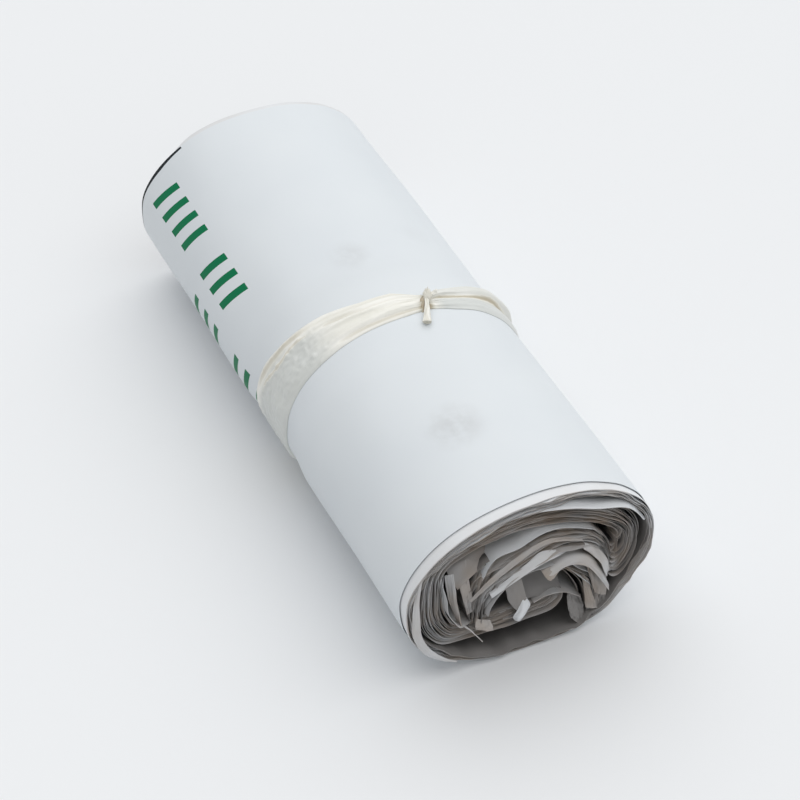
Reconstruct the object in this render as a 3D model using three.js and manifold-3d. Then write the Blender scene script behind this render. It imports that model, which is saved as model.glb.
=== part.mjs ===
// A roll of poly mailers: a stack of flat film bags rolled into a flattened oval,
// squashed so that the stack folds back on itself inside, and tied round the middle
// with a knotted strip of film. X runs along the roll, Z is up and the roll rests on Z = 0.
// A point in the roll's section is a Vector2: x is the distance across, y the height.
import * as THREE from 'three';
import { mergeVertices } from 'three/addons/utils/BufferGeometryUtils.js';
import Module from 'manifold-3d';

// Driving sizes, in millimetres
const mailerWidth = 254;
const rollWidth = 104;
const rollHeight = 73.8;
const widestLevel = 36.6;
const flatSpotSink = 0.8;

// Exponents of the superellipses above and below the widest level
const topFullness = 2.09;
const bottomFullness = 2.22;

// The waist that the tie pulls into the roll
const waistDepth = 1.2;
const waistHalfLength = 16.5;
const waistRamp = 12;

// The three loose wraps round the outside, from the outermost one in. The waist is as
// deep as the outermost wrap allows, which keeps a little of its thickness there.
// A shift moves a wrap or a leaf along the roll, so that their edges do not line up.
const wrapUnderWaist = 0.4;
const wrapThicknesses = [waistDepth + wrapUnderWaist, 1, 1];
const wrapShifts = [-2.6, -4.5, 2.8];
const bottomLip = 1.7;

// The rolled stack inside the wraps, and the few bags tucked into the middle of it.
// At the ends it is parted into leaves, which fill this share of its thickness.
const leafShifts = [4, -0.5, 1.2, -1.4, 0.8];
const tuckShifts = [0.9, -1.1, 1.6];
const leafGrooveDepth = 9;
const leafFill = 0.62;

// The slack at the near end, where the loose wraps sag away from under the stack.
// Its two ends and its lower right corner are shares of half the roll's width and its height.
const sagDepth = 25;
const sagFrom = -0.66;
const sagTo = 0.36;
const sagCorner = [0.4, 0.15];

// The strip of film tied round the roll
const tieThickness = 0.8;
const tieClearance = 0.3;
const tiePlace = 9.2;
const tieKnotWidth = 8.6;
const tieTopWidth = 15;
const tieSideWidth = 27;
const tieBottomWidth = 20;
const tieStandOff = 1.4;

// The knot on top of the roll, with its tail and two short ears. The tie spreads to
// its full width on top within this angle of the knot.
const knotAngle = THREE.MathUtils.degToRad(73);
const knotSpread = THREE.MathUtils.degToRad(20);
const knotLength = 8.4;
const knotBreadth = 7.6;
const knotHeight = 5.6;
const tailLength = 17;
const tailWidth = 3.4;
const tailFlare = 4.8;
const tailSlant = 8;
const earLength = 4.5;
const earWidth = 2.6;
const earSpread = 3;

// How finely the curves are cut, and the small overlaps that make joined solids one
const ringSteps = 52;
const leafSteps = 58;
const tuckSteps = 16;
const ribbonSteps = 6;
const weld = 0.4;
const wrapOverlap = 0.1;
const slackGrip = 0.05;

// The course of the stack through the section, from the end that curls up in the
// bottom of the roll, round by the left and over the top, down the right, back up
// in a hairpin and left again over the hollow. Each row is a place on its outer side
// and the place across from it on its inner side: [across, up, across, up], with
// across as a share of half the roll's width and up as a share of its height.
const stackCourse = [
  [0.290, 0.270, 0.108, 0.285], [0.267, 0.201, 0.063, 0.268], [0.157, 0.155, -0.020, 0.266],
  [-0.098, 0.149, -0.157, 0.268], [-0.437, 0.156, -0.392, 0.266], [-0.676, 0.174, -0.559, 0.297],
  [-0.800, 0.256, -0.627, 0.360], [-0.869, 0.373, -0.663, 0.443], [-0.880, 0.512, -0.676, 0.546],
  [-0.851, 0.657, -0.678, 0.647], [-0.776, 0.755, -0.639, 0.714], [-0.659, 0.827, -0.553, 0.759],
  [-0.494, 0.870, -0.380, 0.783], [-0.265, 0.893, -0.184, 0.797], [-0.020, 0.899, 0.016, 0.786],
  [0.204, 0.885, 0.184, 0.761], [0.404, 0.852, 0.349, 0.725], [0.612, 0.783, 0.514, 0.664],
  [0.780, 0.686, 0.627, 0.598], [0.875, 0.571, 0.698, 0.545], [0.898, 0.462, 0.727, 0.506],
  [0.867, 0.344, 0.724, 0.484], [0.796, 0.252, 0.706, 0.476], [0.714, 0.210, 0.688, 0.476],
  [0.645, 0.249, 0.671, 0.485], [0.620, 0.360, 0.639, 0.528], [0.571, 0.451, 0.573, 0.593],
  [0.473, 0.520, 0.478, 0.650], [0.349, 0.564, 0.333, 0.701], [0.208, 0.575, 0.176, 0.732],
  [0.063, 0.538, 0.020, 0.722], [-0.102, 0.483, -0.157, 0.705], [-0.247, 0.437, -0.345, 0.675],
  [-0.322, 0.373, -0.482, 0.606], [-0.345, 0.326, -0.553, 0.429], [-0.357, 0.299, -0.537, 0.351],
];

// The rows of the course between which the stack lies against the wraps, and the two
// runs of rows whose inner sides face each other across slack in the roll
const backedFrom = 2;
const backedTo = 23;
const slackOutside = [6, 15];
const slackInside = [29, 35];

// The bags tucked in, from the roof of the hollow down to the bottom wraps
const tuckCourse = [
  [-0.071, 0.487, -0.073, 0.459], [0.088, 0.530, 0.067, 0.470], [0.225, 0.552, 0.167, 0.448],
  [0.357, 0.530, 0.247, 0.401], [0.478, 0.462, 0.325, 0.324], [0.565, 0.360, 0.396, 0.230],
  [0.604, 0.249, 0.439, 0.136], [0.602, 0.145, 0.447, 0.070], [0.555, 0.095, 0.402, 0.050],
];

const nearEnd = mailerWidth / 2;
const farEnd = -mailerWidth / 2;

const wasm = await Module();
wasm.setup();

function solidFrom(geometry) {
  geometry.deleteAttribute('normal');
  geometry.deleteAttribute('uv');
  const merged = mergeVertices(geometry, 1e-4);
  return new wasm.Manifold(new wasm.Mesh({
    numProp: 3,
    vertProperties: new Float32Array(merged.attributes.position.array),
    triVerts: new Uint32Array(merged.index.array),
  }));
}

function meshFrom(solid, material, name) {
  const data = solid.getMesh();
  const geometry = new THREE.BufferGeometry();
  geometry.setAttribute('position', new THREE.BufferAttribute(data.vertProperties, 3));
  geometry.setIndex(new THREE.BufferAttribute(data.triVerts, 1));
  geometry.computeVertexNormals();
  const mesh = new THREE.Mesh(geometry, material);
  mesh.name = name;
  return mesh;
}

// A flat outline in the section, carried along the roll from one place to another
function extrudeAlongRoll(outline, fromX, toX) {
  const shape = new THREE.Shape(outline);
  const geometry = new THREE.ExtrudeGeometry(shape, { depth: toX - fromX, bevelEnabled: false });
  const acrossUpAlong = new THREE.Matrix4().makeBasis(
    new THREE.Vector3(0, 1, 0),
    new THREE.Vector3(0, 0, 1),
    new THREE.Vector3(1, 0, 0),
  );
  geometry.applyMatrix4(acrossUpAlong);
  geometry.translate(fromX, 0, 0);
  return solidFrom(geometry);
}

// A grid of points joined into faces, each row closed on itself. The rows are closed
// on each other too, or else the first and the last one are capped by a fan.
function skinOver(rows, rowsClose) {
  const steps = rows[0].length;
  const positions = rows.flat().flatMap((point) => [point.x, point.y, point.z]);
  const at = (row, step) => (row % rows.length) * steps + (step % steps);
  const faces = [];
  const lastRow = rowsClose ? rows.length : rows.length - 1;
  for (let row = 0; row < lastRow; row++) {
    for (let step = 0; step < steps; step++) {
      faces.push(at(row, step), at(row, step + 1), at(row + 1, step + 1));
      faces.push(at(row, step), at(row + 1, step + 1), at(row + 1, step));
    }
  }
  if (!rowsClose) {
    for (let step = 1; step < steps - 1; step++) {
      faces.push(at(0, 0), at(0, step + 1), at(0, step));
      faces.push(at(lastRow, 0), at(lastRow, step), at(lastRow, step + 1));
    }
  }
  const geometry = new THREE.BufferGeometry();
  geometry.setAttribute('position', new THREE.Float32BufferAttribute(positions, 3));
  geometry.setIndex(faces);
  return solidFrom(geometry);
}

// The roll's outline, moved inwards by an inset along its normal and flat where it rests
function outlinePoint(angle, inset) {
  const rising = Math.sin(angle) >= 0;
  const fullness = rising ? topFullness : bottomFullness;
  const halfWidth = rollWidth / 2;
  const reach = rising ? rollHeight - widestLevel : widestLevel + flatSpotSink;
  const power = (value, exponent) => Math.sign(value) * Math.abs(value) ** exponent;
  const across = power(Math.cos(angle), 2 / fullness);
  const up = power(Math.sin(angle), 2 / fullness);
  const normal = new THREE.Vector2(
    power(across, fullness - 1) / halfWidth,
    power(up, fullness - 1) / reach,
  ).normalize();
  return new THREE.Vector2(
    across * halfWidth - inset * normal.x,
    Math.max(widestLevel + up * reach - inset * normal.y, inset),
  );
}

function outlineRing(inset) {
  return Array.from({ length: ringSteps }, (_, step) => (
    outlinePoint(2 * Math.PI * step / ringSteps, inset)
  ));
}

// The same points without those in the middle of a level run, such as the flat spot
function withoutMiddles(points) {
  return points.filter((point, index) => {
    const before = points.at(index - 1);
    const after = points[(index + 1) % points.length];
    return before.y !== point.y || after.y !== point.y;
  });
}

// How far the tie pulls the roll in, at a place along it
function waistAt(x) {
  const past = Math.abs(x - tiePlace) - waistHalfLength;
  const share = THREE.MathUtils.clamp(1 - past / waistRamp, 0, 1);
  return waistDepth * share * share * (3 - 2 * share);
}

// How deep inside the outline a wrap begins
function wrapInset(index) {
  return wrapThicknesses.slice(0, index).reduce((sum, thickness) => sum + thickness - wrapOverlap, 0);
}

// One wrap round the whole roll. The outermost one follows the waist, and the near edge
// of the innermost one stands out further under the roll.
function wrapSolid(index) {
  const shift = wrapShifts[index];
  const inset = wrapInset(index);
  const hasWaist = index === 0;
  const lip = index === wrapShifts.length - 1 ? bottomLip : 0;
  const near = nearEnd + shift;
  const far = farEnd + shift;
  const waistStations = hasWaist ? [
    tiePlace - waistHalfLength - waistRamp,
    tiePlace - waistHalfLength - waistRamp / 2,
    tiePlace - waistHalfLength,
    tiePlace + waistHalfLength,
    tiePlace + waistHalfLength + waistRamp / 2,
    tiePlace + waistHalfLength + waistRamp,
  ] : [];
  const ringAt = (x, depth) => outlineRing(depth).map((point) => {
    const under = Math.max(0, 1 - point.y / (widestLevel / 2));
    return new THREE.Vector3(x === near ? x + lip * under : x, point.x, point.y);
  });
  const outer = [far, ...waistStations, near].map((x) => ringAt(x, inset + (hasWaist ? waistAt(x) : 0)));
  const inner = [near, far].map((x) => ringAt(x, inset + wrapThicknesses[index]));
  return skinOver([...outer, ...inner], true);
}

// The two sides of a course as matching rows of points on smooth curves
function sidesOf(course, steps) {
  const place = (across, up) => new THREE.Vector2(across * rollWidth / 2, up * rollHeight);
  const outer = new THREE.SplineCurve(course.map((row) => place(row[0], row[1])));
  const inner = new THREE.SplineCurve(course.map((row) => place(row[2], row[3])));
  return { outer: outer.getPoints(steps), inner: inner.getPoints(steps) };
}

// What lies between two shares of the way from the outer to the inner side
function layerSolid(sides, fromShare, toShare, fromX, toX) {
  const rows = sides.outer.map((outer, index) => {
    const from = outer.clone().lerp(sides.inner[index], fromShare);
    const to = outer.clone().lerp(sides.inner[index], toShare);
    return [
      new THREE.Vector3(fromX, from.x, from.y),
      new THREE.Vector3(toX, from.x, from.y),
      new THREE.Vector3(toX, to.x, to.y),
      new THREE.Vector3(fromX, to.x, to.y),
    ];
  });
  return skinOver(rows, false);
}

// A stack that is solid inside, and parted into separate leaves at both ends
function stackSolid(course, steps, shifts) {
  const sides = sidesOf(course, steps);
  const bodyNear = nearEnd - leafGrooveDepth;
  const bodyFar = farEnd + leafGrooveDepth;
  const parts = [layerSolid(sides, 0, 1, bodyFar, bodyNear)];
  shifts.forEach((shift, index) => {
    const middle = (index + 0.5) / shifts.length;
    const half = leafFill / shifts.length / 2;
    parts.push(layerSolid(sides, middle - half, middle + half, bodyNear - weld, nearEnd + shift));
    parts.push(layerSolid(sides, middle - half, middle + half, farEnd + shift, bodyFar + weld));
  });
  return wasm.Manifold.union(parts);
}

// What fills the roll between its wraps and the stack
function packing() {
  const backed = stackCourse.slice(backedFrom, backedTo + 1).map((row) => (
    new THREE.Vector2(row[0] * rollWidth / 2, row[1] * rollHeight)
  ));
  const centre = new THREE.Vector2(0, widestLevel);
  const room = new THREE.SplineCurve(backed).getPoints(leafSteps).map((point) => {
    const inwards = centre.clone().sub(point).setLength(weld);
    return point.add(inwards);
  });
  const bodyNear = nearEnd - leafGrooveDepth;
  const bodyFar = farEnd + leafGrooveDepth;
  const outside = withoutMiddles(outlineRing(wrapInset(wrapShifts.length) - weld));
  return extrudeAlongRoll(outside, bodyFar, bodyNear)
    .subtract(extrudeAlongRoll(room, farEnd - leafGrooveDepth, nearEnd + leafGrooveDepth));
}

// What fills the slack inside the roll, short of the open pockets at its two ends
function slackFilling() {
  const facing = ([from, to]) => stackCourse.slice(from, to + 1).map((row) => (
    new THREE.Vector2(row[0] * rollWidth / 2, row[1] * rollHeight).lerp(
      new THREE.Vector2(row[2] * rollWidth / 2, row[3] * rollHeight),
      1 - slackGrip,
    )
  ));
  return extrudeAlongRoll(
    [...facing(slackOutside), ...facing(slackInside)],
    farEnd + leafGrooveDepth + weld,
    nearEnd - leafGrooveDepth - weld,
  );
}

// The space at the near end between the sagging wraps and the stack above them
function sagSpace() {
  const floor = withoutMiddles(outlineRing(wrapInset(wrapShifts.length) + weld / 2)).filter((point) => (
    point.y < widestLevel && point.x > sagFrom * rollWidth / 2 && point.x < sagTo * rollWidth / 2
  ));
  const roof = stackCourse.slice(backedFrom, backedFrom + 4).map((row) => (
    new THREE.Vector2(row[0] * rollWidth / 2, row[1] * rollHeight)
  ));
  const besideTuck = new THREE.Vector2(sagCorner[0] * rollWidth / 2, sagCorner[1] * rollHeight);
  return extrudeAlongRoll([...floor, besideTuck, ...roof], nearEnd - sagDepth, nearEnd + sagDepth);
}

// A place on or off the roll's surface: along it, round it by angle, and out from it
function surfacePoint(x, angle, out) {
  const point = outlinePoint(angle, waistAt(x) - out);
  return new THREE.Vector3(x, point.x, point.y);
}

// The arc that one radian covers at an angle
function arcPerRadian(angle) {
  const step = 0.01;
  return outlinePoint(angle + step, 0).distanceTo(outlinePoint(angle - step, 0)) / (2 * step);
}

// The tie's width round the roll, from smooth steps between its knot, top, side and bottom
function tieWidthAt(angle) {
  const stops = [0, knotAngle, knotAngle + knotSpread, Math.PI, 1.5 * Math.PI, 2 * Math.PI];
  const widths = [tieBottomWidth, tieKnotWidth, tieTopWidth, tieSideWidth, tieBottomWidth, tieBottomWidth];
  const index = stops.findIndex((stop, i) => angle >= stop && angle <= stops[i + 1] + 1e-9);
  const share = (angle - stops[index]) / (stops[index + 1] - stops[index]);
  return THREE.MathUtils.lerp(widths[index], widths[index + 1], share * share * (3 - 2 * share));
}

function tieBand() {
  const rows = [];
  for (let step = 0; step < ringSteps; step++) {
    const angle = 2 * Math.PI * step / ringSteps;
    const half = tieWidthAt(angle) / 2;
    const lift = tieClearance + tieStandOff * Math.max(0, Math.cos(angle)) ** 4;
    rows.push([
      surfacePoint(tiePlace - half, angle, lift),
      surfacePoint(tiePlace + half, angle, lift),
      surfacePoint(tiePlace + half, angle, lift + tieThickness),
      surfacePoint(tiePlace - half, angle, lift + tieThickness),
    ]);
  }
  return skinOver(rows, true);
}

// A flat ribbon of film over the roll's surface. Each stop says how far along and round
// from the knot it lies, how wide it is and how high it stands.
function ribbon(stops) {
  const rows = stops.map(({ along, round, width, lift }) => {
    const x = tiePlace + along;
    const angle = knotAngle + round / arcPerRadian(knotAngle);
    const half = width / 2 / arcPerRadian(knotAngle);
    return [
      surfacePoint(x, angle - half, lift),
      surfacePoint(x, angle + half, lift),
      surfacePoint(x, angle + half, lift + tieThickness),
      surfacePoint(x, angle - half, lift + tieThickness),
    ];
  });
  // Rows that run towards the near end are turned round, so that the faces point out
  if (stops[stops.length - 1].along > 0) rows.reverse();
  return skinOver(rows, false);
}

function tieTail() {
  return ribbon(Array.from({ length: ribbonSteps + 1 }, (_, step) => {
    const share = step / ribbonSteps;
    return {
      along: tailLength * share,
      round: tailSlant * share,
      width: THREE.MathUtils.lerp(tailWidth, tailFlare, share * share),
      lift: tieClearance + knotHeight / 3 * (1 - share),
    };
  }));
}

function tieEar(side) {
  return ribbon(Array.from({ length: 3 }, (_, step) => {
    const share = step / 2;
    return {
      along: -knotLength / 4 - earLength * share,
      round: side * earSpread * share,
      width: earWidth * (1 - 0.5 * share),
      lift: knotHeight / 2 + earLength * 0.5 * share,
    };
  }));
}

function tieKnot() {
  const geometry = new THREE.IcosahedronGeometry(0.5, 2);
  geometry.scale(knotLength, knotBreadth, knotHeight);
  const centre = surfacePoint(tiePlace, knotAngle, tieClearance + knotHeight / 2);
  const outwards = surfacePoint(tiePlace, knotAngle, knotHeight).sub(centre).normalize();
  geometry.applyQuaternion(new THREE.Quaternion().setFromUnitVectors(
    new THREE.Vector3(0, 0, 1),
    outwards,
  ));
  geometry.translate(centre.x, centre.y, centre.z);
  return solidFrom(geometry);
}

function mailerRoll() {
  const wraps = wrapShifts.map((_, index) => wrapSolid(index));
  const stack = stackSolid(stackCourse, leafSteps, leafShifts);
  const tucked = stackSolid(tuckCourse, tuckSteps, tuckShifts);
  const outside = wasm.Manifold.union([...wraps, packing()]).subtract(sagSpace());
  return wasm.Manifold.union([outside, stack, tucked, slackFilling()]);
}

function filmTie() {
  return wasm.Manifold.union([tieBand(), tieKnot(), tieTail(), tieEar(-1), tieEar(1)]);
}

const whiteFilm = new THREE.MeshStandardMaterial({ color: 0xdde2e5, roughness: 0.42, metalness: 0 });
const creamFilm = new THREE.MeshStandardMaterial({ color: 0xe9e8de, roughness: 0.32, metalness: 0 });

const roll = new THREE.Group();
roll.add(meshFrom(mailerRoll(), whiteFilm, 'mailer_roll'));
roll.add(meshFrom(filmTie(), creamFilm, 'film_tie'));

export default roll;
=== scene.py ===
# A roll of poly mailers tied with a strip of film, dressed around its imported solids.
# Shapes are worked out in millimetres and putMesh turns them to metres. X runs along the
# roll to the end that the camera sees, Y across it and Z up from the floor.
import math

import bpy
import numpy as np
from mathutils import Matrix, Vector


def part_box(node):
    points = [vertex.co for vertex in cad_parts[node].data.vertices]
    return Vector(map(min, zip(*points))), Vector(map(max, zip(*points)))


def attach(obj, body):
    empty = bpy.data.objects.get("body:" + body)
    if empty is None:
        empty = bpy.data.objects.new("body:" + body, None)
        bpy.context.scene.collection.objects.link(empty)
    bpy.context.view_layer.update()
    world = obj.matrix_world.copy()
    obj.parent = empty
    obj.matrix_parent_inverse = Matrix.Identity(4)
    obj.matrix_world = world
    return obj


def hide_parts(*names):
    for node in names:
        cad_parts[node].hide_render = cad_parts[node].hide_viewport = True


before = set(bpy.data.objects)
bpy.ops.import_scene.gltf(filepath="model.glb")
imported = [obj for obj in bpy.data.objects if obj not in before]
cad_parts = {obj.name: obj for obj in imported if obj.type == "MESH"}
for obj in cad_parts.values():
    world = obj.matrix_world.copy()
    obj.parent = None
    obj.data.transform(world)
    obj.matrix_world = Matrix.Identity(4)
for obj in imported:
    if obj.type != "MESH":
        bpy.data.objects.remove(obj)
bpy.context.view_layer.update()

metre = 1000.0  # in millimetres

# The roll's outline and ends. Width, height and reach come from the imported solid.
rollLow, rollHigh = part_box("mailer_roll")
roll = {
    "width": (rollHigh.y - rollLow.y) * metre,
    "height": rollHigh.z * metre,
    "widestLevel": 36.6,
    "topFullness": 2.09,  # exponent of the superellipse above the widest level
    "bottomFullness": 2.22,
    "flatSpotSink": 0.8,
    "mailerWidth": 254.0,
    "tiePlace": 9.2,
    "waistDepth": 1.2,
    "waistHalfLength": 16.5,
    "waistRamp": 12.0,
    "sideSlack": 0.8,  # how much less the tie pulls in the +Y side
}
nearEnd = roll["mailerWidth"] / 2
farEnd = -roll["mailerWidth"] / 2

# The photograph's camera, fitted to the roll's edges
photoView = {
    "azimuth": 64.5,
    "elevation": 42.66,
    "distance": 1094.0,
    "target": (14.0, 1.0, 27.4),
    "lens": 123.88,
    "sensor": 36.0,
}


def placeCamera():
    az, el = math.radians(photoView["azimuth"]), math.radians(photoView["elevation"])
    outwards = Vector((math.sin(az) * math.cos(el), -math.cos(az) * math.cos(el), math.sin(el)))
    data = bpy.data.cameras.new("photoCamera")
    data.sensor_width = photoView["sensor"]
    data.lens = photoView["lens"]
    data.clip_start = 0.05
    data.clip_end = 20
    camera = bpy.data.objects.new("photoCamera", data)
    bpy.context.scene.collection.objects.link(camera)
    target = Vector(photoView["target"]) / metre
    camera.location = target + outwards * photoView["distance"] / metre
    camera.rotation_euler = (-outwards).to_track_quat("-Z", "Y").to_euler()
    bpy.context.scene.camera = camera


placeCamera()
print("camera placed")


# Helpers for curves, noise and meshes

# Smooth noise about -1 to 1: a few sine waves of random direction and phase over the
# coordinates, each of which is already divided by its wavelength. Folded, the waves are
# triangles, which leave straight stretches between sharp folds.
def softNoise(seed, *coords, count=7, folded=False):
    rng = np.random.default_rng(seed)
    total = 0.0
    for _ in range(count):
        direction = rng.normal(size=len(coords))
        phase = rng.uniform(0, 2 * math.pi)
        wave = np.sin(sum(d * c for d, c in zip(direction, coords)) * 2 * math.pi + phase)
        total = total + (np.arcsin(wave) * 2 / math.pi if folded else wave)
    return total / math.sqrt(count * 0.75)


# 0 before the first edge, 1 past the second, smooth between them
def smoothStep(low, high, value):
    share = np.clip((value - low) / (high - low), 0, 1)
    return share * share * (3 - 2 * share)


# 1 between the two inner edges, 0 past the two outer ones, smooth between them
def stretch(a, b, c, d, value):
    return smoothStep(a, b, value) * smoothStep(d, c, value)


# A hump that is 1 at its middle and almost 0 from twice its half width on
def hump(value, middle, half, power=2):
    return np.exp(-((value - middle) / half) ** power)


# A Catmull-Rom curve through listed points, read at any place t from 0 to their count - 1
def curveAt(points, t):
    points = np.asarray(points, float)
    last = len(points) - 1
    t = np.clip(np.asarray(t, float), 0, last)
    i = np.minimum(t.astype(int), last - 1)
    f = (t - i)[..., None]
    p0, p1 = points[np.maximum(i - 1, 0)], points[i]
    p2, p3 = points[i + 1], points[np.minimum(i + 2, last)]
    return 0.5 * (2 * p1 + (p2 - p0) * f + (2 * p0 - 5 * p1 + 4 * p2 - p3) * f ** 2
                  + (3 * p1 - p0 - 3 * p2 + p3) * f ** 3)


# A smooth surface through a small net of points, rows by columns
def netSurface(net, rowSteps, columnSteps):
    net = np.asarray(net, float)
    columns = np.stack([curveAt(row, np.linspace(0, len(row) - 1, columnSteps)) for row in net])
    down = np.linspace(0, len(net) - 1, rowSteps)
    return np.stack([curveAt(columns[:, c], down) for c in range(columnSteps)], 1)


# The roll's outline: a superellipse, fuller below its widest level than above it, moved
# inwards by an inset along its normal and flat where it rests
def outline(angle, inset):
    angle = np.asarray(angle, float)
    power = lambda value, exponent: np.sign(value) * np.abs(value) ** exponent
    rising = np.sin(angle) >= 0
    fullness = np.where(rising, roll["topFullness"], roll["bottomFullness"])
    reach = np.where(rising, roll["height"] - roll["widestLevel"], roll["widestLevel"] + roll["flatSpotSink"])
    half = roll["width"] / 2
    across = power(np.cos(angle), 2 / fullness)
    up = power(np.sin(angle), 2 / fullness)
    normalY, normalZ = power(across, fullness - 1) / half, power(up, fullness - 1) / reach
    length = np.hypot(normalY, normalZ)
    y = across * half - inset * normalY / length
    z = np.maximum(roll["widestLevel"] + up * reach - inset * normalZ / length, np.maximum(inset, 0))
    return y, z


# How far the tie pulls the roll in, at a place along it and round it
def waist(x, angle):
    past = np.abs(x - roll["tiePlace"]) - roll["waistHalfLength"]
    pulled = 1 - roll["sideSlack"] * smoothStep(0.2, 0.8, np.cos(angle))
    return roll["waistDepth"] * pulled * (1 - smoothStep(0, roll["waistRamp"], past))


# The way round the outline from its +Y side, as an angle for each arc length and back
ringAngles = np.linspace(-2 * math.pi, 4 * math.pi, 6001)
ringY, ringZ = outline(ringAngles, 0.0)
ringArc = np.concatenate([[0], np.cumsum(np.hypot(np.diff(ringY), np.diff(ringZ)))])
ringArc -= np.interp(0, ringAngles, ringArc)


def angleAt(arc):
    return np.interp(arc, ringArc, ringAngles)


def arcAt(angle):
    return np.interp(angle, ringAngles, ringArc)


# A closed shell from two matching grids, stations by steps: the two faces, the rims at the
# first and last station and, unless the grids close on themselves, the two long edges.
# Returned as points, quads, film coordinates and a tone for each point of either face.
def shell(outer, inner, film, tone, closes=False, innerTone=None):
    stations, steps = outer.shape[:2]
    count = stations * steps
    index = np.arange(count).reshape(stations, steps)
    if closes:
        index = np.concatenate([index, index[:, :1]], 1)

    def quads(a, b):  # joins two rows of indices
        return np.stack([a[:-1], a[1:], b[1:], b[:-1]], -1).reshape(-1, 4)

    faces = [np.stack([index[:-1, :-1], index[:-1, 1:], index[1:, 1:], index[1:, :-1]], -1).reshape(-1, 4)]
    faces.append(faces[0][:, ::-1] + count)
    faces.append(quads(index[0] + count, index[0]))
    faces.append(quads(index[-1], index[-1] + count))
    if not closes:
        faces.append(quads(index[:, 0], index[:, 0] + count))
        faces.append(quads(index[:, -1] + count, index[:, -1]))
    points = np.concatenate([outer.reshape(-1, 3), inner.reshape(-1, 3)])
    faces = np.concatenate(faces)
    a, b, c, d = (points[faces[:, i]] for i in range(4))
    volume = (np.cross(a, b) * c).sum() + (np.cross(a, c) * d).sum()
    if volume < 0:
        faces = faces[:, ::-1]
    film = np.concatenate([film.reshape(-1, 2)] * 2)
    tones = (tone, tone if innerTone is None else innerTone)
    tone = np.concatenate([np.broadcast_to(t, (stations, steps)).reshape(-1) for t in tones])
    return points, faces, film, tone


# A loose sheet through a net of points: its faces lie half a film either side of the
# surface, which soft noise wrinkles along its normal
def sheetShell(net, tone, innerTone=None, film=0.22, wrinkle=0.0, seed=0, rowSteps=30, columnSteps=22):
    surface = netSurface(net, rowSteps, columnSteps)
    normal = np.cross(np.gradient(surface, axis=0), np.gradient(surface, axis=1))
    normal = normal / np.maximum(np.linalg.norm(normal, axis=-1, keepdims=True), 1e-9)
    rows, columns = np.meshgrid(np.linspace(0, 1, rowSteps), np.linspace(0, 1, columnSteps), indexing="ij")
    waves = 1.8  # folds over the sheet, each way
    folds = wrinkle * softNoise(seed, rows * waves, columns * waves, folded=True)
    surface = surface + normal * folds[..., None]
    uv = np.stack([columns * 20, rows * 20], -1)
    half = normal * film / 2
    return shell(surface + half, surface - half, uv, tone, innerTone=innerTone)


# One mesh object from several shells, in metres, with its film coordinates as a UV map in
# metres and its tone as an attribute
def putMesh(name, shells, material, node, sharpAngle=50):
    offset = 0
    points, faces, film, tone = [], [], [], []
    for part in shells:
        points.append(part[0])
        faces.append(part[1] + offset)
        film.append(part[2])
        tone.append(part[3])
        offset += len(part[0])
    points, faces = np.concatenate(points), np.concatenate(faces)
    film, tone = np.concatenate(film), np.concatenate(tone)
    mesh = bpy.data.meshes.new(name)
    mesh.from_pydata((points / metre).tolist(), [], faces.tolist())
    uvMap = mesh.uv_layers.new(name="film")
    uvMap.data.foreach_set("uv", (film / metre)[faces.reshape(-1)].astype(np.float32).reshape(-1))
    toneLayer = mesh.attributes.new("tone", "FLOAT", "POINT")
    toneLayer.data.foreach_set("value", tone.astype(np.float32))
    mesh.polygons.foreach_set("use_smooth", np.ones(len(mesh.polygons), bool))
    mesh.set_sharp_from_angle(angle=math.radians(sharpAngle))
    mesh.materials.append(material)
    mesh.update()
    piece = bpy.data.objects.new(name, mesh)
    bpy.context.scene.collection.objects.link(piece)
    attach(piece, "root")
    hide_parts(node)
    print(name, "has", len(faces) * 2, "triangles")


# Materials

# The linear colour of an sRGB hex value
def linear(hexColour):
    channels = [int(hexColour[i:i + 2], 16) / 255 for i in (1, 3, 5)]
    return [c / 12.92 if c <= 0.04045 else ((c + 0.055) / 1.055) ** 2.4 for c in channels] + [1.0]


# Adds a node: settings are its properties, inputs are values or other nodes' sockets
def addNode(tree, kind, settings=None, inputs=None):
    node = tree.nodes.new(kind)
    for key, value in (settings or {}).items():
        setattr(node, key, value)
    for key, value in (inputs or {}).items():
        if isinstance(value, bpy.types.NodeSocket):
            tree.links.new(value, node.inputs[key])
        else:
            node.inputs[key].default_value = value
    return node


# A material with nothing but its shader so far
def newMaterial(name):
    material = bpy.data.materials.new(name)
    material.use_nodes = True
    tree = material.node_tree
    tree.nodes.clear()
    shader = addNode(tree, "ShaderNodeBsdfPrincipled")
    output = addNode(tree, "ShaderNodeOutputMaterial")
    tree.links.new(shader.outputs["BSDF"], output.inputs["Surface"])
    return material, tree, shader


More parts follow.
